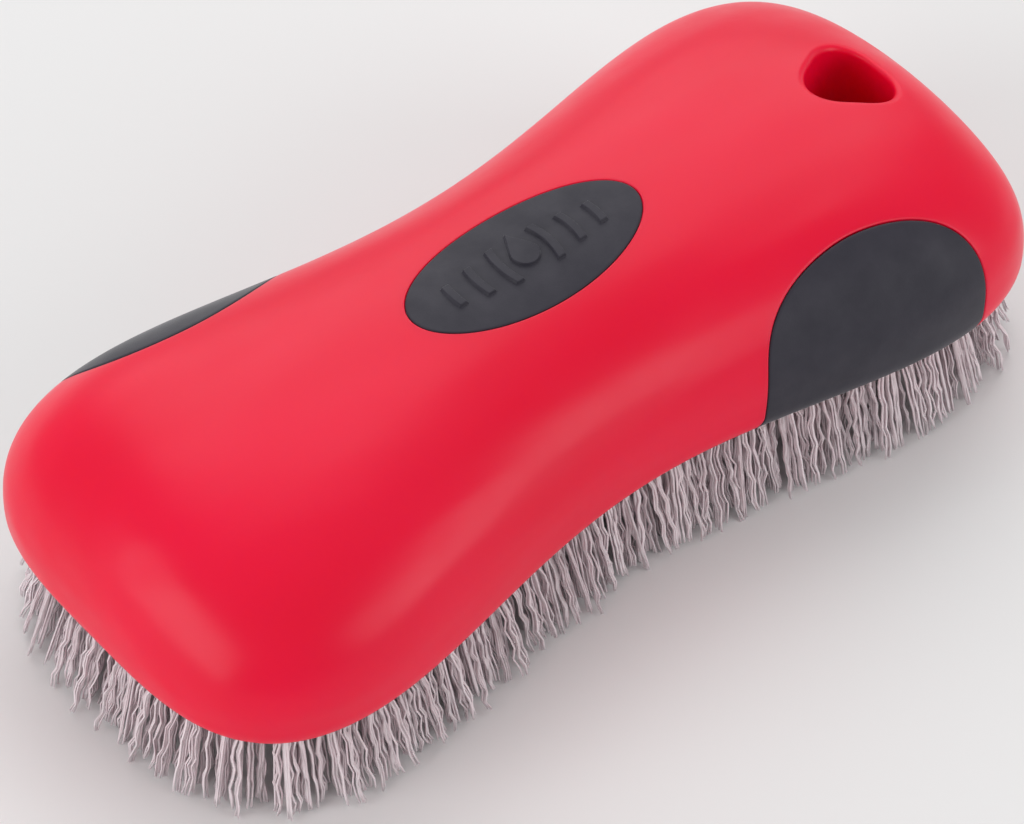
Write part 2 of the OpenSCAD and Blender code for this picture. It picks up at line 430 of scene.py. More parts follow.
@dataclass(frozen=True)
class PadArch:
    """A grip pad's outline seen from the side, over a level foot.

    It is the arch |dx / half|^run + (z / height)^rise = 1, whose top leans towards the nearer tip.

    Fields:
        form: the brush's form.
        side: the long side that the pad is on; the pad stands at -x on the left and at +x on the right.
        x, length, height: the arch's middle, its length along the brush and its height.
        lean: how far its top leans.
        foot: height of its level foot over the shell's lower edge.
        run, rise: the arch's powers.
        hub_share: height of the hub, which the outline's rays start from, as a share of the arch's.
        arch_points, foot_points: points along the arch and along its foot.
    """

    form: DomeForm
    side: Side
    x: float = 45.2 * MM
    length: float = 43.7 * MM
    height: float = 24.8 * MM
    lean: float = 2.0 * MM
    foot: float = 0.42 * MM
    run: float = 1.88
    rise: float = 6.1
    hub_share: float = 0.42
    arch_points: int = 2001
    foot_points: int = 801

    def hub(self) -> tuple[float, float]:
        """The point in the side view that the outline's rays start from."""
        return -self.side.value * self.x, self.height * self.hub_share

    def centre(self) -> np.ndarray:
        """Parameters of that point on the form."""
        x, z = self.hub()
        return self.form.place_side(np.array(x), np.array(z), self.side)

    def angles(self, points: np.ndarray) -> np.ndarray:
        """The angle about the hub, in the side view, of each of some points of the form."""
        x, z = self.hub()
        return np.arctan2(points[..., 2] - self.form.floor - z, points[..., 0] - x)

    def ring(self, angles: np.ndarray, grow: float) -> np.ndarray:
        """Parameters of the outline.

        The arch and its foot are walked as a closed line, and each ray from the hub reads its distance.

        Args:
            angles: angles of the rays from the hub, in the side view.
            grow: how far the outline is grown.

        Returns:
            An (..., 2) array of parameters.
        """
        x0, z0 = self.hub()
        t = np.linspace(0, math.pi, self.arch_points)
        half, high, foot = self.length / 2 + grow, self.height + grow, self.foot - grow
        run = np.sign(np.cos(t)) * np.abs(np.cos(t)) ** (2 / self.run)
        up = np.maximum(np.sin(t), 0) ** (2 / self.rise)
        lean = -self.side.value * self.lean * up
        arch = np.stack([half * run + lean, np.maximum(high * up, foot) - z0], -1)
        level = np.full(self.foot_points, foot - z0)
        base = np.stack([np.linspace(-half, half, self.foot_points), level], -1)
        walk = np.concatenate([arch, base])
        bearing = np.arctan2(walk[:, 1], walk[:, 0])
        order = np.argsort(bearing)
        reach = np.interp(angles, bearing[order], np.hypot(*walk[order].T), period=2 * math.pi)
        return self.form.place_side(x0 + reach * np.cos(angles), z0 + reach * np.sin(angles), self.side)


@dataclass(frozen=True)
class HangHole:
    """The hanging hole: a rounded three-cornered outline, r = radius (1 - corners cos 3a).

    Fields:
        form: the brush's form.
        x: place of its middle along the brush.
        radius, corners: mean radius, and how strongly the three corners stand out.
        lip: radius of the rounding at its mouth.
        wall: wall thickness of the tube round it.
    """

    form: DomeForm
    x: float = 71 * MM
    radius: float = 7.5 * MM
    corners: float = 0.1
    lip: float = 1.4 * MM
    wall: float = 2.2 * MM

    def centre(self) -> np.ndarray:
        """Parameters of the hole's middle."""
        return self.form.place(np.array(self.x), np.array(0.0))

    def angles(self, points: np.ndarray) -> np.ndarray:
        """The bearing from the hole's middle, in plan, of each of some points of the dome."""
        return np.arctan2(points[..., 1], points[..., 0] - self.x)

    def plan(self, angles: np.ndarray, grow: float) -> np.ndarray:
        """The outline in plan, grown by grow, at the angles given."""
        r = (self.radius + grow) * (1 - self.corners * np.cos(3 * angles))
        return np.stack([self.x + r * np.cos(angles), r * np.sin(angles)], -1)

    def ring(self, angles: np.ndarray, grow: float, inset: float = 0.0) -> np.ndarray:
        """Parameters of the outline on the form, grown by grow."""
        xy = self.plan(angles, grow)
        return self.form.place(xy[..., 0], xy[..., 1], inset)


Outline = Oval | PadArch | HangHole


# ---------------------------------------------------------------- shell


@dataclass(frozen=True)
class Window:
    """A block of grid cells that is left out, so that rings of points round an outline take its place.

    Fields:
        rows, columns: the block's cells along u and along v.
    """

    rows: slice
    columns: slice

    @classmethod
    def around(cls, us: np.ndarray, vs: np.ndarray, outline: np.ndarray, margin: int = 4) -> "Window":
        """The block that holds an outline with a margin of some cells, or up to the grid's border.

        Args:
            us, vs: the grid's steps.
            outline: an (n, 2) array of parameters.
            margin: cells kept between the outline and the block's border.

        Returns:
            The block.
        """
        spans = []
        for steps, values in ((us, outline[:, 0]), (vs, outline[:, 1])):
            low = np.searchsorted(steps, values.min()) - margin
            high = np.searchsorted(steps, values.max()) + margin
            spans.append(slice(max(low, 0), min(high, len(steps) - 1)))
        return cls(*spans)

    def border(self, uv: np.ndarray) -> np.ndarray:
        """The grid points round the block, in order.

        Args:
            uv: the (rows, columns, 2) grid of parameters.

        Returns:
            An (n, 2) array of parameters, anticlockwise in (u, v).
        """
        i0, i1, j0, j1 = self.rows.start, self.rows.stop, self.columns.start, self.columns.stop
        return np.concatenate([
            uv[i0:i1, j0], uv[i1, j0:j1], uv[i1:i0:-1, j1], uv[i0, j1:j0:-1],
        ])


@dataclass
class HandleShell:
    """The red hollow moulding, with pockets for the inlays and the hanging hole's tube.

    Fields:
        form: the brush's form.
        inlays: outlines of the pockets.
        hole: the hanging hole.
        wall: wall thickness.
        recess: height of the tube's end over the shell's lower edge.
        pocket: depth of the pockets.
        lip: how the rim of a pocket rounds over, as (growth of the outline, depth) in millimetres.
        stations: cells along the brush.
        dome_points, edge_points: cells across the outer dome, and down each of its lower edges.
        hollow_points, hollow_edge_points: the same for the hollow's ceiling.
        collar_rings: rings between a window's border and the outline in it.
        lip_rings, throat_rings, tube_rings: rings over the hole's lip, down its throat and up its tube.
        probe_points: points of an outline from which its window is found.
    """

    form: DomeForm
    inlays: list[Outline]
    hole: HangHole
    wall: float = 3.5 * MM
    recess: float = 1.2 * MM
    pocket: float = 1.3 * MM
    lip: tuple[tuple[float, float], ...] = (
        (0.40, 0.0), (0.28, 0.012), (0.17, 0.045), (0.09, 0.11), (0.06, 0.20), (0.05, 0.35), (0.05, 1.30),
    )
    stations: int = 260
    dome_points: int = 150
    edge_points: int = 9
    hollow_points: int = 48
    hollow_edge_points: int = 4
    collar_rings: int = 9
    lip_rings: int = 11
    throat_rings: int = 24
    tube_rings: int = 9
    probe_points: int = 361

    def grid(self, dome_points: int, edge_points: int) -> tuple[np.ndarray, np.ndarray, np.ndarray]:
        """Even steps along and across the form.

        Args:
            dome_points: cells across the dome.
            edge_points: cells down each lower edge.

        Returns:
            The steps of u, the steps of v, and the (rows, columns, 2) grid of both.
        """
        us = np.linspace(-1, 1, self.stations + 1)
        edge = np.linspace(1, 2, edge_points + 1)
        vs = np.concatenate([-edge[::-1], np.linspace(-1, 1, dome_points + 1)[1:-1], edge])
        return us, vs, np.stack(np.meshgrid(us, vs, indexing="ij"), -1)

    def collar(self, border: np.ndarray, inner: np.ndarray) -> np.ndarray:
        """Rings of parameters from a window's border to an outline's ring, straight in (u, v)."""
        share = np.linspace(0, 1, self.collar_rings + 1)[:, None, None]
        return border + (inner - border) * share

    def let_in(self, skin: Skin, outline: Outline, border: np.ndarray) -> None:
        """Adds the surface from a window's border down into the pocket for an inlay, and its floor.

        Args:
            skin: where the surface goes.
            outline: the inlay's outline.
            border: parameters of the window's border.
        """
        angles = outline.angles(self.form.point(border))
        skin.add_rings(self.form.point(self.collar(border, outline.ring(angles, self.lip[0][0] * MM))))
        rim = np.stack([self.form.sunk(outline.ring(angles, g * MM), d * MM) for g, d in self.lip])
        skin.add_rings(rim)
        foot = outline.ring(angles, self.lip[-1][0] * MM)
        share = np.linspace(0, 1, self.collar_rings + 1)[:, None, None]
        skin.add_rings(self.form.sunk(foot + (outline.centre() - foot) * share, self.pocket))

    def sleeve(self, skin: Skin, outer: np.ndarray, inner: np.ndarray) -> None:
        """Adds the hanging hole: from the dome over its rounded lip, down the throat and up the tube.

        The lip's ring at the angle a is the outline grown by lip (1 - sin a), laid on the dome and sunk
        by lip (1 - cos a). The throat is straight, and the tube's outside meets the hollow's ceiling.

        Args:
            skin: where the surface goes.
            outer: border of the window in the outer surface.
            inner: border of the window in the hollow's ceiling.
        """
        form, hole = self.form, self.hole
        angles = hole.angles(form.point(outer))
        skin.add_rings(form.point(self.collar(outer, hole.ring(angles, hole.lip))))
        turn = np.linspace(0, math.pi / 2, self.lip_rings)
        rings = [
            self.laid(hole.plan(angles, hole.lip * (1 - math.sin(a))), hole.lip * (1 - math.cos(a)))
            for a in turn
        ]
        top, end = rings[-1], form.floor + self.recess
        rings += [
            np.concatenate([top[:, :2], top[:, 2:] + (end - top[:, 2:]) * s], 1)
            for s in np.linspace(0.05, 1, self.throat_rings)
        ]
        outside = hole.plan(angles, hole.wall)
        ceiling = form.dome_z(outside[:, 0], outside[:, 1], self.wall)
        up = np.linspace(0, 1, self.tube_rings)
        rings += [np.column_stack([outside, end + (ceiling - end) * s]) for s in up]
        skin.add_rings(np.stack(rings))
        under = hole.angles(form.point(inner, self.wall, 0.0))
        ring = hole.ring(under, hole.wall, self.wall)
        skin.add_rings(form.point(self.collar(inner, ring), self.wall, 0.0))

    def laid(self, xy: np.ndarray, depth: float) -> np.ndarray:
        """An outline in plan laid on the dome and sunk straight down by depth."""
        return np.column_stack([xy, self.form.dome_z(xy[:, 0], xy[:, 1]) - depth])

    def build(self, material: bpy.types.Material) -> bpy.types.Object:
        """Makes the shell.

        Args:
            material: the shell's finish.

        Returns:
            The piece, which stands for the CAD shell.
        """
        form, skin = self.form, Skin()
        us, vs, uv = self.grid(self.dome_points, self.edge_points)
        probe = np.linspace(-math.pi, math.pi, self.probe_points)
        keep = np.ones((len(us) - 1, len(vs) - 1), bool)
        for outline in self.inlays:
            window = Window.around(us, vs, outline.ring(probe, self.lip[0][0] * MM))
            keep[window.rows, window.columns] = False
            self.let_in(skin, outline, window.border(uv))
        outer = Window.around(us, vs, self.hole.ring(probe, self.hole.lip))
        keep[outer.rows, outer.columns] = False
        skin.add_grid(form.point(uv), keep)

        us_in, vs_in, uv_in = self.grid(self.hollow_points, self.hollow_edge_points)
        inner = Window.around(us_in, vs_in, self.hole.ring(probe, self.hole.wall, self.wall), 2)
        ceiling = np.ones((len(us_in) - 1, len(vs_in) - 1), bool)
        ceiling[inner.rows, inner.columns] = False
        skin.add_grid(form.point(uv_in, self.wall, 0.0), ceiling)
        self.sleeve(skin, outer.border(uv), inner.border(uv_in))
        for end in (0, -1):
            skin.add_grid(np.stack([form.point(uv[:, end]), form.point(uv_in[:, end], self.wall, 0.0)]))
        piece = skin.build("handle_shell_moulding")
        fit_out(piece, Slot.SHELL, material, "handle_shell")
        return piece


# ---------------------------------------------------------------- inlays


@dataclass
class Inlay:
    """A soft inlay: a skin of the form inside an outline, with its rim rounded over.

    Fields:
        form: the brush's form.
        outline: the inlay's outline.
        name: the piece's name.
        node: the CAD node that it stands for.
        thickness: depth of the inlay.
        rim: how its edge rounds over, as (growth of the outline, depth) in millimetres.
        around, inwards: points round the outline, and rings from the rim to the middle.
    """

    form: DomeForm
    outline: Outline
    name: str
    node: str
    thickness: float = 1.15 * MM
    rim: tuple[tuple[float, float], ...] = (
        (-0.05, 1.15), (-0.05, 0.34), (-0.06, 0.20), (-0.10, 0.10),
        (-0.18, 0.04), (-0.30, 0.008), (-0.45, 0.0),
    )
    around: int = 300
    inwards: int = 60

    def relief(self, points: np.ndarray) -> np.ndarray:
        """Height of the moulded relief over the form at some of its points; a plain inlay has none."""
        return np.zeros(points.shape[:-1])

    def build(self, material: bpy.types.Material) -> bpy.types.Object:
        """Makes the inlay as a closed skin: its back, its rim and its face.

        Args:
            material: the inlay's finish.

        Returns:
            The piece, which stands for the CAD inlay.
        """
        skin, form = Skin(), self.form
        angles = np.linspace(-math.pi, math.pi, self.around, endpoint=False)
        rim = np.stack([form.sunk(self.outline.ring(angles, g * MM), d * MM) for g, d in self.rim])
        skin.add_rings(rim)
        edge = self.outline.ring(angles, self.rim[-1][0] * MM)
        share = np.linspace(0, 1, self.inwards + 1)[:, None, None]
        face = edge + (self.outline.centre() - edge) * share
        skin.add_rings(form.sunk(face, -self.relief(form.point(face))))
        foot = self.outline.ring(angles, self.rim[0][0] * MM)
        back = foot + (self.outline.centre() - foot) * share[::6]
        skin.add_rings(form.sunk(back, self.thickness))
        piece = skin.build(self.name)
        fit_out(piece, Slot.SOFT, material, self.node)
        return piece


@dataclass
class Badge(Inlay):
    """The oval inlay on top, with a plain relief: a water drop between three ripples on either side.

    Fields:
        height: how far the relief stands up.
        soften: width over which its sides slope.
        drop_r: radius of the drop's round end.
        shoulder: up to where the drop is round, in radii.
        drop_start, drop_run, drop_end: where the drop's sides begin to draw in, over what distance they
            do, and where it is cut off, in radii.
        ripple: distance of the first ripple from the middle, and from one to the next.
        line: width of a ripple.
        bend: how strongly a ripple is bent.
        reach, shrink: half height of the ripples, and how much of it each one loses, counted outwards.
        around, inwards: points round the outline and rings to the middle, fine enough for the relief.
    """

    height: float = 0.55 * MM
    soften: float = 0.13 * MM
    drop_r: float = 2.6 * MM
    shoulder: float = 0.3
    drop_start: float = 0.2
    drop_run: float = 1.9
    drop_end: float = 2.1
    ripple: float = 5.0 * MM
    line: float = 1.6 * MM
    bend: float = 0.035 / MM
    reach: float = 5.2 * MM
    shrink: float = 0.9 * MM
    around: int = 420
    inwards: int = 175

    def raised(self, distance: np.ndarray) -> np.ndarray:
        """A smooth step from 1 inside a shape to 0 outside, given the distance outside its edge."""
        t = np.clip(0.5 - distance / self.soften / 2, 0, 1)
        return t * t * (3 - 2 * t)

    def relief(self, points: np.ndarray) -> np.ndarray:
        """Height of the drop and the ripples.

        The drop is a circle whose sides draw in to a point along +Y. Each ripple is a band at an even
        distance from the middle along X, bent like a bracket and cut off level at its ends.

        Args:
            points: an (..., 3) array of points of the form.

        Returns:
            An array of heights, one for each point.
        """
        x, y = points[..., 0], points[..., 1]
        tail = np.clip((y - self.drop_start * self.drop_r) / (self.drop_run * self.drop_r), 0, 1)
        below = np.where(y < self.shoulder * self.drop_r, y, 0.0)
        drop = np.hypot(x, below) - self.drop_r * (1 - tail)
        drop = np.where(y > self.drop_end * self.drop_r, self.drop_r, drop)
        height = self.raised(drop)
        for number in (1, 2, 3):
            bow = np.abs(x) + self.bend * y**2 - number * self.ripple
            ends = np.abs(y) - (self.reach - self.shrink * number)
            height = np.maximum(height, self.raised(np.maximum(np.abs(bow) - self.line / 2, ends)))
        return self.height * height


# ---------------------------------------------------------------- tufts


@dataclass(frozen=True)
class TuftPlan:
    """Where the tufts stand in the block: one line along the edge, and bowed rows inside it.

    Fields:
        form: the brush's form.
        hole: the hanging hole, which the tufts keep clear of.
        pitch: distance from tuft to tuft along a row.
        inset: distance of the edge line from the outline.
        side_rows: rows on each side of the middle one.
        row_share: share of the half width that the rows take up.
        clear: least distance from an inner tuft to one along the edge.
        hole_clear: least distance from an inner tuft to the hole's tube.
        edge_points: points of one side of the edge line.
        quadrants: stretches that the edge line is divided into.
    """

    form: DomeForm
    hole: HangHole
    pitch: float = 7 * MM
    inset: float = 7.8 * MM
    side_rows: int = 4
    row_share: float = 0.77
    clear: float = 5.4 * MM
    hole_clear: float = 2.7 * MM
    edge_points: int = 1201
    quadrants: int = 4

    def edge(self) -> tuple[np.ndarray, np.ndarray]:
        """Even steps along the inset outline, anticlockwise from the tip at the hanging hole.

        Returns:
            The places, (n, 2), and the outward directions, (n, 2).
        """
        form = self.form
        xs = (form.half_len - self.inset) * form.along.spread(np.linspace(1, -1, self.edge_points))
        upper = np.column_stack([xs, form.half_width(xs, self.inset)])
        line = np.concatenate([upper, (upper * [1, -1])[::-1][1:]])
        run = np.concatenate([[0], np.cumsum(np.linalg.norm(np.diff(line, axis=0), axis=1))])
        count = self.quadrants * round(run[-1] / self.pitch / self.quadrants)
        steps = (np.arange(count) + 0.5) * run[-1] / count
        places = np.column_stack([np.interp(steps, run, line[:, a]) for a in (0, 1)])
        along = np.roll(places, -1, 0) - np.roll(places, 1, 0)
        out = np.column_stack([along[:, 1], -along[:, 0]])
        return places, out / np.linalg.norm(out, axis=1, keepdims=True)

    def row(self, number: int, edge: np.ndarray) -> np.ndarray:
        """Places of one inner row, which bows with the waist; every other row is staggered.

        Args:
            number: the row's number, from 1 on the right side.
            edge: the (n, 2) places along the edge, which the row keeps clear of.

        Returns:
            The places, (m, 2).
        """
        form, j = self.form, number - 1 - self.side_rows
        reach = math.ceil(form.half_len / self.pitch)
        x = (np.arange(-reach, reach + 1) + abs(j) % 2 / 2) * self.pitch
        y = j * self.row_share / self.side_rows * (form.sides(x) - self.inset)
        places = np.column_stack([x, y])
        inside = (np.abs(x) < form.half_len - self.inset) & (np.abs(y) < form.half_width(x, self.inset))
        gap = np.linalg.norm(places[:, None] - edge[None], axis=2).min(1)
        away = places - [self.hole.x, 0]
        bearing = np.arctan2(away[:, 1], away[:, 0])
        keep_off = self.hole.plan(bearing, self.hole.wall + self.hole_clear) - [self.hole.x, 0]
        clear = np.linalg.norm(away, axis=1) > np.linalg.norm(keep_off, axis=1)
        return places[inside & (gap > self.clear) & clear]


@dataclass
class BristleBed:
    """All the crimped filaments, one piece for each CAD node of tufts.

    A tuft is a handful of strands, and a strand is a few filaments that share one crimp, so that the
    tufts break up into wavy locks with dark gaps between them.

    Fields:
        plan: where the tufts stand.
        mouth: height of the block's lower face, where the tufts come out.
        strands, filaments: strands in a tuft, and filaments in a strand.
        turn: part of a full turn from one strand of a tuft to the next.
        radius: radius of a filament.
        taper: share of it that is left at the tip.
        root_r: radius of the circle that a tuft's outermost strands start from.
        buried: length of a filament inside the block.
        splay: how far a strand at the edge of a tuft spreads sideways at its tip.
        opening: power of the share of the free length with which the splay grows.
        loft: how loosely filaments lie in their strand, from the tightest to the loosest strand.
        loose: how far a filament strays from its strand at its tip.
        outward: share of the splay that is kept in the direction in which a tuft leans.
        lean: outward lean of the tufts along the edge.
        crimp: sideways swing of a strand's crimp.
        wave: length of one crimp.
        ragged: how unevenly the tips end.
        strand_tone, filament_tone: how much the shade differs from strand to strand, and inside one.
        row_seed: seed of the random numbers of the inner rows, to which a row's number is added.
        segments: pieces along a filament.
        corners: corners of a filament's section.
    """

    plan: TuftPlan
    mouth: float
    strands: int = 14
    filaments: int = 4
    turn: float = 0.618
    radius: float = 0.29 * MM
    taper: float = 0.72
    root_r: float = 1.634 * MM
    buried: float = 2.5 * MM
    splay: float = 4.0 * MM
    opening: float = 0.45
    loft: tuple[float, float] = (0.12 * MM, 0.3 * MM)
    loose: float = 0.2 * MM
    outward: float = 0.45
    lean: float = math.radians(15)
    crimp: float = 0.36 * MM
    wave: float = 5.6 * MM
    ragged: float = 2.0 * MM
    strand_tone: float = 0.2
    filament_tone: float = 0.12
    row_seed: int = 100
    segments: int = 12
    corners: int = 3

    def centre_lines(self, places: np.ndarray, out: np.ndarray, rng: np.random.Generator) -> np.ndarray:
        """Centre lines of all the filaments of some tufts.

        A filament runs from its root, inside the block, to its tip in n even steps s from 0 to 1. Its
        place is root + lean + splay + crimp. The lean grows evenly over the free length, and the splay
        with a power of it under 1, so that the tufts soon close up. A strand's crimp is a sine along the
        length, in a direction of its own, that grows in over the first few millimetres.

        Args:
            places: (n, 2) places of the tufts.
            out: (n, 2) directions in which they lean; zeros for upright ones.
            rng: seeded random numbers.

        Returns:
            An (n, strands, filaments, segments + 1, 3) array.
        """
        shape = (len(places), self.strands, self.filaments)
        turn = 2 * math.pi * (np.arange(self.strands) * self.turn + rng.random((len(places), 1)))
        far = np.sqrt((np.arange(self.strands) + 0.4) / self.strands)
        toward = np.stack([np.cos(turn), np.sin(turn)], -1)
        root = toward * (far * self.root_r)[:, None]
        spread = toward * (far * self.splay)[:, None] * rng.uniform(0.5, 1.25, (*shape[:2], 1))
        ahead = (spread * out[:, None]).sum(-1, keepdims=True)
        spread = spread - (1 - self.outward) * ahead * out[:, None]
        top = self.mouth + self.buried
        bottom = rng.uniform(0, 0.75, shape[:2])[..., None] * self.ragged + rng.random(shape) * 0.5 * MM
        depth = top - bottom
        s = np.linspace(0, 1, self.segments + 1)
        free = np.clip((s * depth[..., None] - self.buried) / (self.mouth - bottom)[..., None], 0, 1)
        loft = rng.uniform(*self.loft, (*shape[:2], 1, 1))
        jitter = rng.normal(0, 1, (*shape, 2)) * loft
        loose = rng.normal(0, self.loose, (*shape, 2))
        lean = out[:, None, None] * (math.tan(self.lean) * self.mouth)
        lean = lean * rng.uniform(0.8, 1.2, (*shape[:2], 1, 1))
        base = (root[:, :, None] + jitter)[..., None, :]
        tip = (spread[:, :, None] + loose)[..., None, :] * free[..., None] ** self.opening
        tip = tip + lean[..., None, :] * free[..., None]
        swing = rng.uniform(0, 2 * math.pi, shape[:2])
        phase = rng.uniform(0, 2 * math.pi, shape[:2])[..., None, None]
        phase = phase + rng.normal(0, 0.35, shape)[..., None]
        pace = 2 * math.pi / (self.wave * rng.uniform(0.85, 1.2, shape[:2]))[..., None, None]
        size = self.crimp * np.clip(free * 5, 0, 1) * rng.uniform(0.7, 1.3, shape)[..., None]
        wave = size * np.sin(pace * s * depth[..., None] + phase)
        side = np.stack([np.cos(swing), np.sin(swing)], -1)[:, :, None, None]
        xy = places[:, None, None, None] + base + tip + wave[..., None] * side
        return np.concatenate([xy, (top - s * depth[..., None])[..., None]], -1)

    def tubes(self, lines: np.ndarray) -> tuple[np.ndarray, np.ndarray]:
        """Carries a small polygon along each centre line and closes both of its ends.

        Each tube is turned 2.4 radians further than the last, so that their flats don't line up.

        Args:
            lines: (n, steps, 3) centre lines, which run down.

        Returns:
            The points, (n steps corners, 3), and the triangles, (m, 3).
        """
        count, steps = lines.shape[:2]
        k = self.corners
        turn = np.arange(count)[:, None, None] * 2.4 + np.arange(k) * 2 * math.pi / k
        radius = self.radius * np.linspace(1, self.taper, steps)[None, :, None]
        ring = np.stack([radius * np.cos(turn), radius * np.sin(turn), np.zeros((count, steps, k))], -1)
        points = (lines[:, :, None] + ring).reshape(-1, 3)
        at = (np.arange(count)[:, None, None] * steps + np.arange(steps - 1)[:, None]) * k
        now, after = np.arange(k), (np.arange(k) + 1) % k
        a, b = at + now, at + after
        c, d = a + k, b + k
        walls = np.stack([np.stack([a, c, b], -1), np.stack([b, c, d], -1)]).reshape(-1, 3)
        first = np.arange(count)[:, None] * steps * k
        last = first + (steps - 1) * k
        fan = np.arange(1, k - 1)
        caps = [np.stack([first + 0 * fan, first + fan, first + fan + 1], -1),
                np.stack([last + 0 * fan, last + fan + 1, last + fan], -1)]
        return points, np.concatenate([walls, *(c.reshape(-1, 3) for c in caps)])

    def grow(self, name: str, node: str, places: np.ndarray, out: np.ndarray, seed: int,
             material: bpy.types.Material) -> bpy.types.Object:
        """Makes the filaments of one node's tufts, with a shade of their own for each strand.

        Args:
            name: the piece's name.
            node: the CAD node that it stands for.
            places: (n, 2) places of the tufts.
            out: (n, 2) directions in which they lean; zeros for upright ones.
            seed: seed of their random numbers.
            material: the filaments' finish.

        Returns:
            The piece, whose points carry their shade and their share of the way along the filament.
        """
        rng = np.random.default_rng(seed)
        lines = self.centre_lines(places, out, rng)
        strand_shade = rng.normal(0.5, self.strand_tone, lines.shape[:2])[..., None]
        shade = np.clip(strand_shade + rng.normal(0, self.filament_tone, lines.shape[:3]), 0, 1)
        flat = lines.reshape(-1, *lines.shape[3:])
        points, triangles = self.tubes(flat)
        piece = make_piece(name, points, triangles)
        per_line = flat.shape[1] * self.corners
        along = np.tile(np.repeat(np.linspace(0, 1, flat.shape[1]), self.corners), len(flat))
        for title, values in (("shade", np.repeat(shade.ravel(), per_line)), ("along", along)):
            layer = piece.data.attributes.new(title, "FLOAT", "POINT")
            layer.data.foreach_set("value", values.astype(np.float32))
        fit_out(piece, Slot.BRISTLE, material, node)
        return piece

    def build(self, material: bpy.types.Material) -> list[bpy.types.Object]:
        """Grows the stretches along the edge and the inner rows.

        Args:
            material: the filaments' finish.

        Returns:
            The pieces, one for each CAD node of tufts.
        """
        edge, out = self.plan.edge()
        each = len(edge) // self.plan.quadrants
        pieces = [
            self.grow(f"edge_bristles_{q + 1}", f"edge_tufts_{q + 1}", edge[q * each:(q + 1) * each],
                      out[q * each:(q + 1) * each], q, material)
            for q in range(self.plan.quadrants)
        ]
        for number in range(1, 2 * self.plan.side_rows + 2):
            places = self.plan.row(number, edge)
            pieces.append(self.grow(f"bristle_row_{number}", f"tuft_row_{number}", places,
                                    np.zeros_like(places), self.row_seed + number, material))
        return pieces


# ---------------------------------------------------------------- finishes


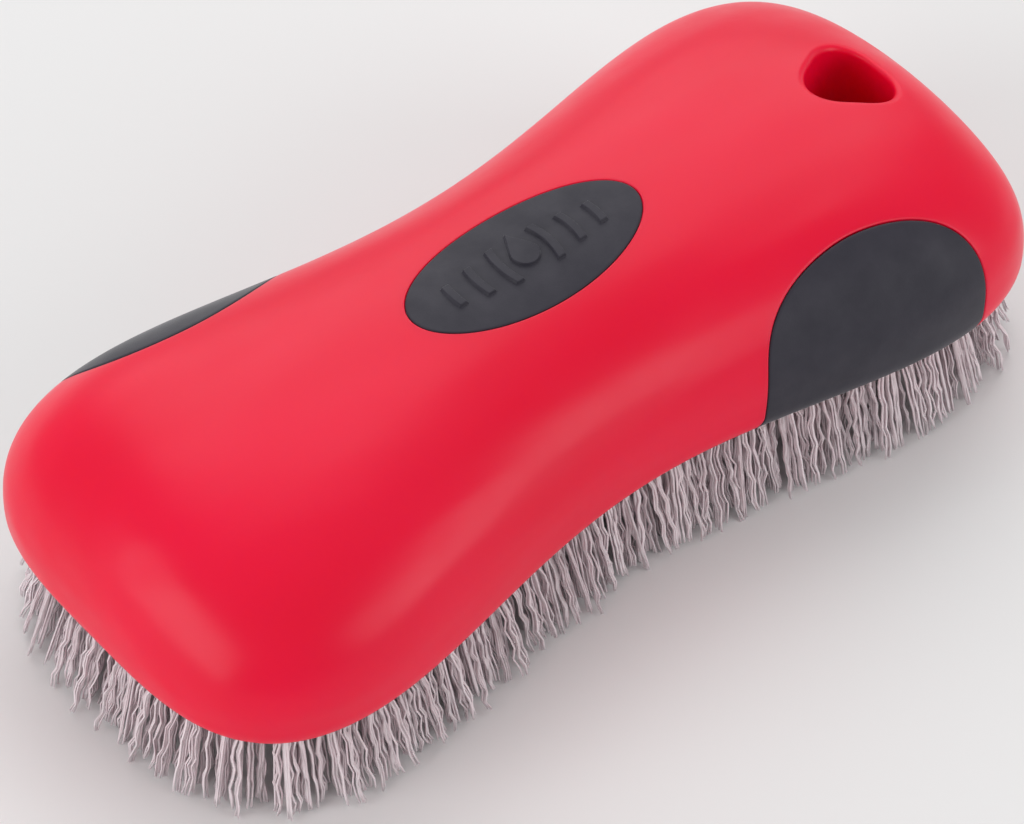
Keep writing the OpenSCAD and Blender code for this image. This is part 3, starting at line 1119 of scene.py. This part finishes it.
class Recipe:
    """A material under construction: one Principled shader and short calls for the nodes that feed it."""

    def __init__(self, name: str) -> None:
        """Starts a material with a bare shader.

        Args:
            name: the material's name.
        """
        self.material = bpy.data.materials.new(name)
        self.material.use_nodes = True
        self.tree = self.material.node_tree
        self.shader = self.tree.nodes["Principled BSDF"]
        self.place = self.tree.nodes.new("ShaderNodeTexCoord").outputs["Object"]

    def node(self, kind: str, **settings: object) -> bpy.types.Node:
        """Adds a node and sets its properties.

        Args:
            kind: the node's type.
            settings: its properties by name.

        Returns:
            The node.
        """
        made = self.tree.nodes.new(kind)
        for key, value in settings.items():
            setattr(made, key, value)
        return made

    def join(self, source: bpy.types.NodeSocket, target: bpy.types.NodeSocket) -> None:
        """Links an output to an input."""
        self.tree.links.new(source, target)

    def constant(self, **values: object) -> None:
        """Sets sockets of the shader by name, with underscores for spaces."""
        for key, value in values.items():
            self.shader.inputs[key.replace("_", " ")].default_value = value

    def stretched(self, scale: tuple[float, float, float]) -> bpy.types.NodeSocket:
        """Object coordinates, stretched.

        Args:
            scale: a factor for each axis; a small one draws a pattern out along that axis.

        Returns:
            The coordinates.
        """
        mapping = self.node("ShaderNodeMapping")
        mapping.inputs["Scale"].default_value = scale
        self.join(self.place, mapping.inputs["Vector"])
        return mapping.outputs["Vector"]

    def noise(self, size: float, detail: float = 3.0, where: bpy.types.NodeSocket | None = None,
              roughness: float = 0.5) -> bpy.types.NodeSocket:
        """Noise from 0 to 1.

        Args:
            size: size of its features, in metres.
            detail: how many finer layers it has.
            where: the coordinates that it reads; the object's own if None.
            roughness: how strong the finer layers are.

        Returns:
            The noise.
        """
        made = self.node("ShaderNodeTexNoise")
        made.inputs["Scale"].default_value = 1 / size
        made.inputs["Detail"].default_value = detail
        made.inputs["Roughness"].default_value = roughness
        self.join(where or self.place, made.inputs["Vector"])
        return made.outputs["Fac"]

    def attribute(self, name: str) -> bpy.types.NodeSocket:
        """One of the piece's own point values."""
        return self.node("ShaderNodeAttribute", attribute_name=name).outputs["Fac"]

    def ramp(self, source: bpy.types.NodeSocket, *stops: tuple[float, Colour]) -> bpy.types.NodeSocket:
        """Turns a value into a colour.

        Args:
            source: the value, from 0 to 1.
            stops: the ramp's stops, each a position and its colour.

        Returns:
            The colour.
        """
        made = self.node("ShaderNodeValToRGB")
        band = made.color_ramp
        for _ in stops[2:]:
            band.elements.new(0.5)
        for element, (position, colour) in zip(band.elements, stops):
            element.position = position
            element.color = (*colour, 1.0)
        self.join(source, made.inputs["Fac"])
        return made.outputs["Color"]

    def scaled(self, source: bpy.types.NodeSocket, low: float, high: float,
               start: float = 0.0, end: float = 1.0) -> bpy.types.NodeSocket:
        """Maps a range of a value onto another range.

        Args:
            source: the value.
            low, high: the range that comes out.
            start, end: the range that goes in; what lies outside it is held at its ends.

        Returns:
            The new value.
        """
        made = self.node("ShaderNodeMapRange")
        for key, value in (("From Min", start), ("From Max", end), ("To Min", low), ("To Max", high)):
            made.inputs[key].default_value = value
        self.join(source, made.inputs["Value"])
        return made.outputs["Result"]

    def blend(self, share: bpy.types.NodeSocket, source: bpy.types.NodeSocket,
              colour: Colour) -> bpy.types.NodeSocket:
        """Mixes a fixed colour into another.

        Args:
            share: share of the fixed colour.
            source: the other colour.
            colour: the fixed colour.

        Returns:
            The mixed colour.
        """
        made = self.node("ShaderNodeMix", data_type="RGBA")
        self.join(share, made.inputs["Factor"])
        first, second = (socket for socket in made.inputs if socket.type == "RGBA")
        self.join(source, first)
        second.default_value = (*colour, 1.0)
        return next(socket for socket in made.outputs if socket.type == "RGBA")

    def bump(self, *layers: tuple[bpy.types.NodeSocket, float]) -> None:
        """Stacks bumps onto the shader's normal.

        Args:
            layers: the bumps, each a height from 0 to 1 and how far it stands up, in metres.
        """
        normal = None
        for height, distance in layers:
            made = self.node("ShaderNodeBump")
            made.inputs["Distance"].default_value = distance
            self.join(height, made.inputs["Height"])
            if normal is not None:
                self.join(normal, made.inputs["Normal"])
            normal = made.outputs["Normal"]
        self.join(normal, self.shader.inputs["Normal"])


@dataclass(frozen=True)
class MouldedRed:
    """The shell's plastic: glossy, a little milky, with flow shades, rubbed spots, sinks and a fine grain.

    Fields:
        deep, light: the two ends of its flow shades.
    """

    deep: Colour = (0.79, 0.001, 0.032)
    light: Colour = (0.86, 0.003, 0.045)

    def make(self) -> bpy.types.Material:
        """Builds the material.

        Returns:
            The material.
        """
        r = Recipe("moulded_red")
        flow = r.noise(34 * MM, 2.0, r.stretched((0.5, 1.0, 1.0)))
        r.join(r.ramp(flow, (0.3, self.deep), (0.7, self.light)), r.shader.inputs["Base Color"])
        handling = r.noise(9 * MM, 5.0, None, 0.65)
        r.join(r.scaled(handling, 0.285, 0.37, 0.3, 0.7), r.shader.inputs["Roughness"])
        r.constant(Subsurface_Weight=0.35, Subsurface_Radius=(1.0, 0.1, 0.08), Subsurface_Scale=2.8 * MM,
                   IOR=1.49, Specular_IOR_Level=0.27)
        sinks = r.noise(16 * MM, 1.0, r.stretched((0.35, 1.0, 1.6)))
        ripple, grain = r.noise(1.1 * MM, 3.0), r.noise(0.22 * MM, 2.0)
        r.bump((sinks, 0.8 * MM), (ripple, 0.012 * MM), (grain, 0.003 * MM))
        return r.material


@dataclass(frozen=True)
class SoftRubber:
    """The inlays' soft rubber: charcoal, matt, with a fine eroded grain and paler rubbed patches.

    Fields:
        deep, rubbed: its colour, and that of the rubbed patches.
    """

    deep: Colour = (0.019, 0.017, 0.028)
    rubbed: Colour = (0.027, 0.024, 0.037)

    def make(self) -> bpy.types.Material:
        """Builds the material.

        Returns:
            The material.
        """
        r = Recipe("soft_rubber")
        patches = r.noise(8 * MM, 4.0, None, 0.6)
        r.join(r.ramp(patches, (0.35, self.deep), (0.72, self.rubbed)), r.shader.inputs["Base Color"])
        r.join(r.scaled(patches, 0.62, 0.5, 0.3, 0.75), r.shader.inputs["Roughness"])
        r.constant(IOR=1.46, Specular_IOR_Level=0.4, Sheen_Weight=0.3, Sheen_Roughness=0.35)
        r.bump((r.noise(5 * MM, 2.0), 0.05 * MM), (r.noise(0.35 * MM, 4.0, None, 0.7), 0.02 * MM))
        return r.material


@dataclass(frozen=True)
class BlockPlastic:
    """The tuft block's black moulded plastic, finely textured and dusty between the tufts.

    Fields:
        clean, dusty: its colour, and that of the dusty patches.
    """

    clean: Colour = (0.016, 0.016, 0.018)
    dusty: Colour = (0.05, 0.047, 0.046)

    def make(self) -> bpy.types.Material:
        """Builds the material.

        Returns:
            The material.
        """
        r = Recipe("block_plastic")
        dust = r.noise(3 * MM, 5.0, None, 0.65)
        r.join(r.ramp(dust, (0.4, self.clean), (0.8, self.dusty)), r.shader.inputs["Base Color"])
        r.join(r.scaled(dust, 0.42, 0.65, 0.3, 0.8), r.shader.inputs["Roughness"])
        r.bump((r.noise(0.5 * MM, 3.0), 0.02 * MM))
        return r.material


@dataclass(frozen=True)
class CrimpedFilament:
    """The bristles' filament: mauve grey, paler towards its tips, with a faint gloss and drawn streaks.

    Fields:
        dark, pale: the two ends of the strands' shades.
        tip: the colour that the tips draw towards.
    """

    dark: Colour = (0.76, 0.62, 0.655)
    pale: Colour = (0.94, 0.80, 0.84)
    tip: Colour = (0.93, 0.84, 0.87)

    def make(self) -> bpy.types.Material:
        """Builds the material.

        Returns:
            The material.
        """
        r = Recipe("crimped_filament")
        shade = r.ramp(r.attribute("shade"), (0.1, self.dark), (0.9, self.pale))
        tips = r.scaled(r.attribute("along"), 0.0, 0.35, 0.55, 1.0)
        r.join(r.blend(tips, shade, self.tip), r.shader.inputs["Base Color"])
        streaks = r.noise(0.5 * MM, 3.0, r.stretched((1.0, 1.0, 0.15)))
        r.join(r.scaled(streaks, 0.34, 0.52, 0.3, 0.7), r.shader.inputs["Roughness"])
        r.constant(Subsurface_Weight=0.3, Subsurface_Radius=(1.0, 0.85, 0.88), Subsurface_Scale=0.6 * MM,
                   IOR=1.5)
        r.bump((streaks, 0.02 * MM))
        return r.material


@dataclass(frozen=True)
class DrawnWire:
    """The anchors' flat steel wire, drawn along its length.

    Fields:
        dull, bright: the two ends of its drawn streaks.
    """

    dull: Colour = (0.42, 0.42, 0.43)
    bright: Colour = (0.68, 0.68, 0.69)

    def make(self) -> bpy.types.Material:
        """Builds the material.

        Returns:
            The material.
        """
        r = Recipe("drawn_wire")
        draw = r.noise(0.2 * MM, 3.0, r.stretched((0.08, 1.0, 1.0)))
        r.join(r.ramp(draw, (0.3, self.dull), (0.7, self.bright)), r.shader.inputs["Base Color"])
        r.join(r.scaled(draw, 0.25, 0.42, 0.3, 0.7), r.shader.inputs["Roughness"])
        r.constant(Metallic=1.0)
        r.bump((draw, 0.01 * MM))
        return r.material


# ---------------------------------------------------------------- studio


@dataclass(frozen=True)
class Softbox:
    """A square soft light.

    Fields:
        name: the light's name.
        place: where it stands.
        size: length of its sides.
        watts: its power.
    """

    name: str
    place: tuple[float, float, float]
    size: float
    watts: float

    def build(self, aim: Vector) -> None:
        """Makes the light.

        Args:
            aim: the point that it faces.
        """
        data = bpy.data.lights.new(self.name, "AREA")
        data.size = self.size
        data.energy = self.watts
        light = bpy.data.objects.new(self.name, data)
        light.location = self.place
        light.rotation_euler = (light.location - aim).to_track_quat("Z", "Y").to_euler()
        bpy.context.scene.collection.objects.link(light)


@dataclass
class Studio:
    """A pale floor, soft light and the camera.

    Fields:
        azimuth, elevation: where the camera stands, in degrees; azimuth 0 looks along +Y.
        distance: distance from the camera to the aim.
        aim: the point that the camera stands over and the lights face.
        lens: focal length, in millimetres.
        aside, below: how far to the left of the aim and under it the camera looks.
        lights: the soft lights.
        ambient: strength of the even white light from all around.
        floor_half: half the floor's width.
        floor_low, floor_high: the two ends of the floor's pale greys.
    """

    azimuth: float = -39.63
    elevation: float = 47.29
    distance: float = 0.841
    aim: Vector = field(default_factory=lambda: Vector((0.0, 0.0, 0.040)))
    lens: float = 179.3
    aside: float = 2.04 * MM
    below: float = 18.6 * MM
    lights: tuple[Softbox, ...] = (
        Softbox("key", (0.55, 0.75, 0.95), 1.5, 11.0),
        Softbox("left_fill", (-1.15, 0.15, 0.5), 0.9, 7.0),
        Softbox("right_fill", (0.75, -1.2, 0.6), 0.9, 6.8),
    )
    ambient: float = 0.47
    floor_half: float = 3.0
    floor_low: Colour = (0.80, 0.80, 0.80)
    floor_high: Colour = (0.83, 0.83, 0.83)

    def directions(self) -> tuple[Vector, Vector, Vector]:
        """The camera's own directions.

        Returns:
            Unit vectors towards the camera, to its right and up its picture.
        """
        a, e = math.radians(self.azimuth), math.radians(self.elevation)
        back = Vector((math.sin(a) * math.cos(e), -math.cos(a) * math.cos(e), math.sin(e)))
        right = Vector((math.cos(a), math.sin(a), 0.0))
        return back, right, back.cross(right)

    def camera(self) -> None:
        """Makes the camera, which looks a little below and beside the brush's middle."""
        back, right, up = self.directions()
        data = bpy.data.cameras.new("camera")
        data.lens = self.lens
        data.clip_end = 10.0
        camera = bpy.data.objects.new("camera", data)
        camera.location = self.aim + back * self.distance
        looks_at = self.aim - right * self.aside - up * self.below
        camera.rotation_euler = (camera.location - looks_at).to_track_quat("Z", "Y").to_euler()
        bpy.context.scene.collection.objects.link(camera)
        bpy.context.scene.camera = camera

    def floor(self) -> None:
        """Makes the pale floor that the bristle tips stand on."""
        half = self.floor_half
        corners = np.array([[-half, -half, 0], [half, -half, 0], [half, half, 0], [-half, half, 0]])
        floor = make_piece("floor", corners, np.array([[0, 1, 2], [0, 2, 3]]))
        r = Recipe("pale_floor")
        greys = r.ramp(r.noise(0.5, 2.0), (0.3, self.floor_low), (0.7, self.floor_high))
        r.join(greys, r.shader.inputs["Base Color"])
        r.constant(Roughness=0.9)
        floor.data.materials.append(r.material)

    def build(self) -> None:
        """Sets up the floor, the lights, the surroundings and the camera."""
        self.floor()
        for light in self.lights:
            light.build(self.aim)
        world = bpy.data.worlds.new("surroundings")
        world.use_nodes = True
        background = world.node_tree.nodes["Background"]
        background.inputs["Color"].default_value = (1.0, 1.0, 1.0, 1.0)
        background.inputs["Strength"].default_value = self.ambient
        bpy.context.scene.world = world
        bpy.context.scene.view_settings.view_transform = "Standard"
        self.camera()


# ---------------------------------------------------------------- the whole brush


def dress_frame(frame: dict, anchors: bpy.types.Material, block: bpy.types.Material) -> None:
    """Gives the CAD nodes that stay in view their finishes.

    Args:
        frame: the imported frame.
        anchors: the anchors' finish.
        block: the tuft block's finish.
    """
    for name, node in frame["nodes"].items():
        if "anchor" in name or name == "tuft_block":
            node.data.materials.clear()
            node.data.materials.append(block if name == "tuft_block" else anchors)
            LOG.info("%s: kept from the frame", name)


def main() -> None:
    """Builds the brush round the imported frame, then the studio."""
    logging.basicConfig(level=logging.INFO, format="%(name)s: %(message)s")
    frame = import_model()
    form = DomeForm.from_frame()
    hole = HangHole(form)
    badge = Oval(form)
    right = PadArch(form, Side.RIGHT)
    left = PadArch(form, Side.LEFT)
    rubber = SoftRubber().make()
    HandleShell(form, [badge, right, left], hole).build(MouldedRed().make())
    Badge(form, badge, "badge_oval", "badge_inlay").build(rubber)
    Inlay(form, right, "grip_pad_right_soft", "grip_pad_right").build(rubber)
    Inlay(form, left, "grip_pad_left_soft", "grip_pad_left").build(rubber)
    BristleBed(TuftPlan(form, hole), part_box("tuft_block")[0].z).build(CrimpedFilament().make())
    dress_frame(frame, DrawnWire().make(), BlockPlastic().make())
    Studio().build()


if __name__ == "__main__":
    main()
